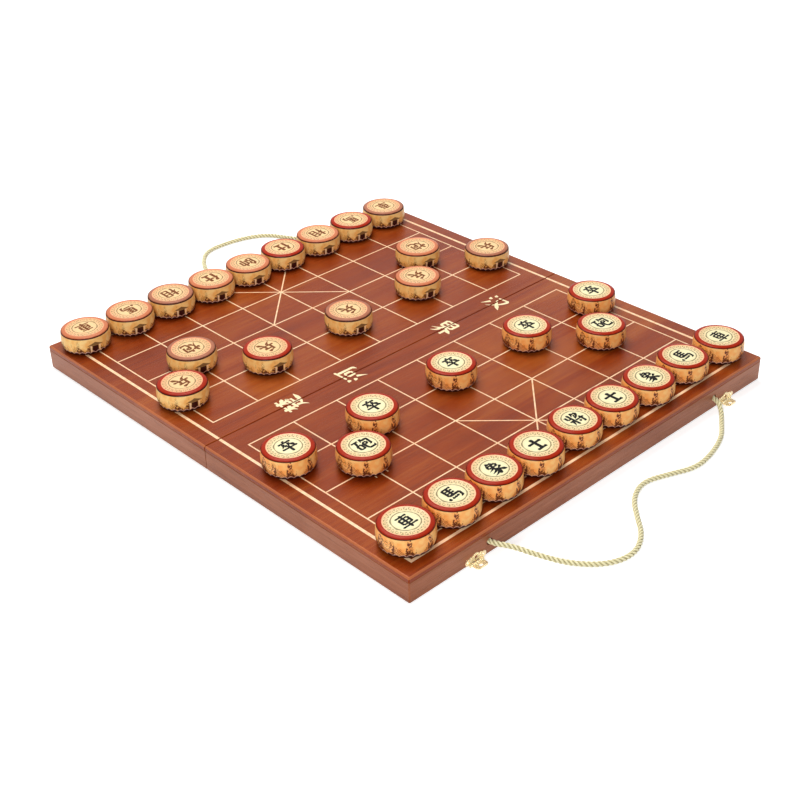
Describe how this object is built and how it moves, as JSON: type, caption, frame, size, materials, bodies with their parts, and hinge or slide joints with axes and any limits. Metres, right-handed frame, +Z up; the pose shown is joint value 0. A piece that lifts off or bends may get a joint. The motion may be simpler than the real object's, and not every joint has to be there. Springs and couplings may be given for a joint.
{
  "type": "folding chess board case",
  "caption": "Folding wooden xiangqi case laid open as a board, with latches, rope handles and turned pieces set out on its lines.",
  "frame": {"origin": "middle of the opened board on the table plane under it", "axes": "+X along the ranks to the right, +Y from the near (black) half to the far (red) half, +Z up"},
  "size_m": [0.475, 0.7153, 0.046],
  "materials": {
    "mahogany": "gloss lacquer",
    "inlay_cream": "gloss lacquer",
    "green_felt": "matte",
    "rope_cord": "twisted cord",
    "brass": "polished",
    "piece_black": "satin lacquer",
    "piece_red": "satin lacquer"
  },
  "bodies": {
    "near_half": {"near_playing_panel": "mahogany", "near_front_rail": "mahogany", "near_left_rail": "mahogany", "near_right_rail": "mahogany", "near_seam_rail": "mahogany", "near_felt_lining": "green_felt", "near_inlay_lines": "inlay_cream", "near_handle_rope": "rope_cord", "near_rope_knots": "rope_cord", "hinge_leaves_near": "brass", "hinge_pins": "brass", "latch_plates": "brass", "latch_pins": "brass", "near_brass_screws": "brass"},
    "far_half": {"far_playing_panel": "mahogany", "far_front_rail": "mahogany", "far_left_rail": "mahogany", "far_right_rail": "mahogany", "far_seam_rail": "mahogany", "far_felt_lining": "green_felt", "far_inlay_lines": "inlay_cream", "far_handle_rope": "rope_cord", "far_rope_knots": "rope_cord", "hinge_leaves_far": "brass", "catch_plates": "brass", "far_brass_screws": "brass"},
    "hasp_left": {"latch_hasp_left": "brass"},
    "hasp_right": {"latch_hasp_right": "brass"},
    "black_chariot_left": {"black_chariot_left": "piece_black"},
    "black_chariot_right": {"black_chariot_right": "piece_black"},
    "black_horse_left": {"black_horse_left": "piece_black"},
    "black_horse_right": {"black_horse_right": "piece_black"},
    "black_elephant_left": {"black_elephant_left": "piece_black"},
    "black_elephant_right": {"black_elephant_right": "piece_black"},
    "black_advisor_left": {"black_advisor_left": "piece_black"},
    "black_advisor_right": {"black_advisor_right": "piece_black"},
    "black_general": {"black_general": "piece_black"},
    "black_cannon_left": {"black_cannon_left": "piece_black"},
    "black_cannon_right": {"black_cannon_right": "piece_black"},
    "black_soldier_1": {"black_soldier_1": "piece_black"},
    "black_soldier_2": {"black_soldier_2": "piece_black"},
    "black_soldier_3": {"black_soldier_3": "piece_black"},
    "black_soldier_4": {"black_soldier_4": "piece_black"},
    "black_soldier_5": {"black_soldier_5": "piece_black"},
    "red_chariot_left": {"red_chariot_left": "piece_red"},
    "red_chariot_right": {"red_chariot_right": "piece_red"},
    "red_horse_left": {"red_horse_left": "piece_red"},
    "red_horse_right": {"red_horse_right": "piece_red"},
    "red_elephant_left": {"red_elephant_left": "piece_red"},
    "red_elephant_right": {"red_elephant_right": "piece_red"},
    "red_advisor_left": {"red_advisor_left": "piece_red"},
    "red_advisor_right": {"red_advisor_right": "piece_red"},
    "red_general": {"red_general": "piece_red"},
    "red_cannon_left": {"red_cannon_left": "piece_red"},
    "red_cannon_right": {"red_cannon_right": "piece_red"},
    "red_soldier_1": {"red_soldier_1": "piece_red"},
    "red_soldier_2": {"red_soldier_2": "piece_red"},
    "red_soldier_3": {"red_soldier_3": "piece_red"},
    "red_soldier_4": {"red_soldier_4": "piece_red"},
    "red_soldier_5": {"red_soldier_5": "piece_red"}
  },
  "joints": [
    {"name": "fold", "type": "hinge", "parent": "near_half", "child": "far_half", "pos_m": [0, 0, 0.0015], "axis": [-1, 0, 0], "range_deg": [0, 180], "deforming": ["near_handle_rope", "far_handle_rope"]},
    {"name": "hasp_left_swing", "type": "hinge", "parent": "near_half", "child": "hasp_left", "pos_m": [-0.1635, -0.263, 0.0013], "axis": [1, 0, 0], "range_deg": [-78, 90]},
    {"name": "hasp_right_swing", "type": "hinge", "parent": "near_half", "child": "hasp_right", "pos_m": [0.1805, -0.263, 0.0013], "axis": [1, 0, 0], "range_deg": [-78, 90]},
    {"name": "black_chariot_left_lift", "type": "slide", "parent": "near_half", "child": "black_chariot_left", "axis": [0, 0, 1], "range_m": [0, 0.05]},
    {"name": "black_chariot_right_lift", "type": "slide", "parent": "near_half", "child": "black_chariot_right", "axis": [0, 0, 1], "range_m": [0, 0.05]},
    {"name": "black_horse_left_lift", "type": "slide", "parent": "near_half", "child": "black_horse_left", "axis": [0, 0, 1], "range_m": [0, 0.05]},
    {"name": "black_horse_right_lift", "type": "slide", "parent": "near_half", "child": "black_horse_right", "axis": [0, 0, 1], "range_m": [0, 0.05]},
    {"name": "black_elephant_left_lift", "type": "slide", "parent": "near_half", "child": "black_elephant_left", "axis": [0, 0, 1], "range_m": [0, 0.05]},
    {"name": "black_elephant_right_lift", "type": "slide", "parent": "near_half", "child": "black_elephant_right", "axis": [0, 0, 1], "range_m": [0, 0.05]},
    {"name": "black_advisor_left_lift", "type": "slide", "parent": "near_half", "child": "black_advisor_left", "axis": [0, 0, 1], "range_m": [0, 0.05]},
    {"name": "black_advisor_right_lift", "type": "slide", "parent": "near_half", "child": "black_advisor_right", "axis": [0, 0, 1], "range_m": [0, 0.05]},
    {"name": "black_general_lift", "type": "slide", "parent": "near_half", "child": "black_general", "axis": [0, 0, 1], "range_m": [0, 0.05]},
    {"name": "black_cannon_left_lift", "type": "slide", "parent": "near_half", "child": "black_cannon_left", "axis": [0, 0, 1], "range_m": [0, 0.05]},
    {"name": "black_cannon_right_lift", "type": "slide", "parent": "near_half", "child": "black_cannon_right", "axis": [0, 0, 1], "range_m": [0, 0.05]},
    {"name": "black_soldier_1_lift", "type": "slide", "parent": "near_half", "child": "black_soldier_1", "axis": [0, 0, 1], "range_m": [0, 0.05]},
    {"name": "black_soldier_2_lift", "type": "slide", "parent": "near_half", "child": "black_soldier_2", "axis": [0, 0, 1], "range_m": [0, 0.05]},
    {"name": "black_soldier_3_lift", "type": "slide", "parent": "near_half", "child": "black_soldier_3", "axis": [0, 0, 1], "range_m": [0, 0.05]},
    {"name": "black_soldier_4_lift", "type": "slide", "parent": "near_half", "child": "black_soldier_4", "axis": [0, 0, 1], "range_m": [0, 0.05]},
    {"name": "black_soldier_5_lift", "type": "slide", "parent": "near_half", "child": "black_soldier_5", "axis": [0, 0, 1], "range_m": [0, 0.05]},
    {"name": "red_chariot_left_lift", "type": "slide", "parent": "far_half", "child": "red_chariot_left", "axis": [0, 0, 1], "range_m": [0, 0.05]},
    {"name": "red_chariot_right_lift", "type": "slide", "parent": "far_half", "child": "red_chariot_right", "axis": [0, 0, 1], "range_m": [0, 0.05]},
    {"name": "red_horse_left_lift", "type": "slide", "parent": "far_half", "child": "red_horse_left", "axis": [0, 0, 1], "range_m": [0, 0.05]},
    {"name": "red_horse_right_lift", "type": "slide", "parent": "far_half", "child": "red_horse_right", "axis": [0, 0, 1], "range_m": [0, 0.05]},
    {"name": "red_elephant_left_lift", "type": "slide", "parent": "far_half", "child": "red_elephant_left", "axis": [0, 0, 1], "range_m": [0, 0.05]},
    {"name": "red_elephant_right_lift", "type": "slide", "parent": "far_half", "child": "red_elephant_right", "axis": [0, 0, 1], "range_m": [0, 0.05]},
    {"name": "red_advisor_left_lift", "type": "slide", "parent": "far_half", "child": "red_advisor_left", "axis": [0, 0, 1], "range_m": [0, 0.05]},
    {"name": "red_advisor_right_lift", "type": "slide", "parent": "far_half", "child": "red_advisor_right", "axis": [0, 0, 1], "range_m": [0, 0.05]},
    {"name": "red_general_lift", "type": "slide", "parent": "far_half", "child": "red_general", "axis": [0, 0, 1], "range_m": [0, 0.05]},
    {"name": "red_cannon_left_lift", "type": "slide", "parent": "far_half", "child": "red_cannon_left", "axis": [0, 0, 1], "range_m": [0, 0.05]},
    {"name": "red_cannon_right_lift", "type": "slide", "parent": "far_half", "child": "red_cannon_right", "axis": [0, 0, 1], "range_m": [0, 0.05]},
    {"name": "red_soldier_1_lift", "type": "slide", "parent": "far_half", "child": "red_soldier_1", "axis": [0, 0, 1], "range_m": [0, 0.05]},
    {"name": "red_soldier_2_lift", "type": "slide", "parent": "far_half", "child": "red_soldier_2", "axis": [0, 0, 1], "range_m": [0, 0.05]},
    {"name": "red_soldier_3_lift", "type": "slide", "parent": "far_half", "child": "red_soldier_3", "axis": [0, 0, 1], "range_m": [0, 0.05]},
    {"name": "red_soldier_4_lift", "type": "slide", "parent": "far_half", "child": "red_soldier_4", "axis": [0, 0, 1], "range_m": [0, 0.05]},
    {"name": "red_soldier_5_lift", "type": "slide", "parent": "far_half", "child": "red_soldier_5", "axis": [0, 0, 1], "range_m": [0, 0.05]}
  ]
}
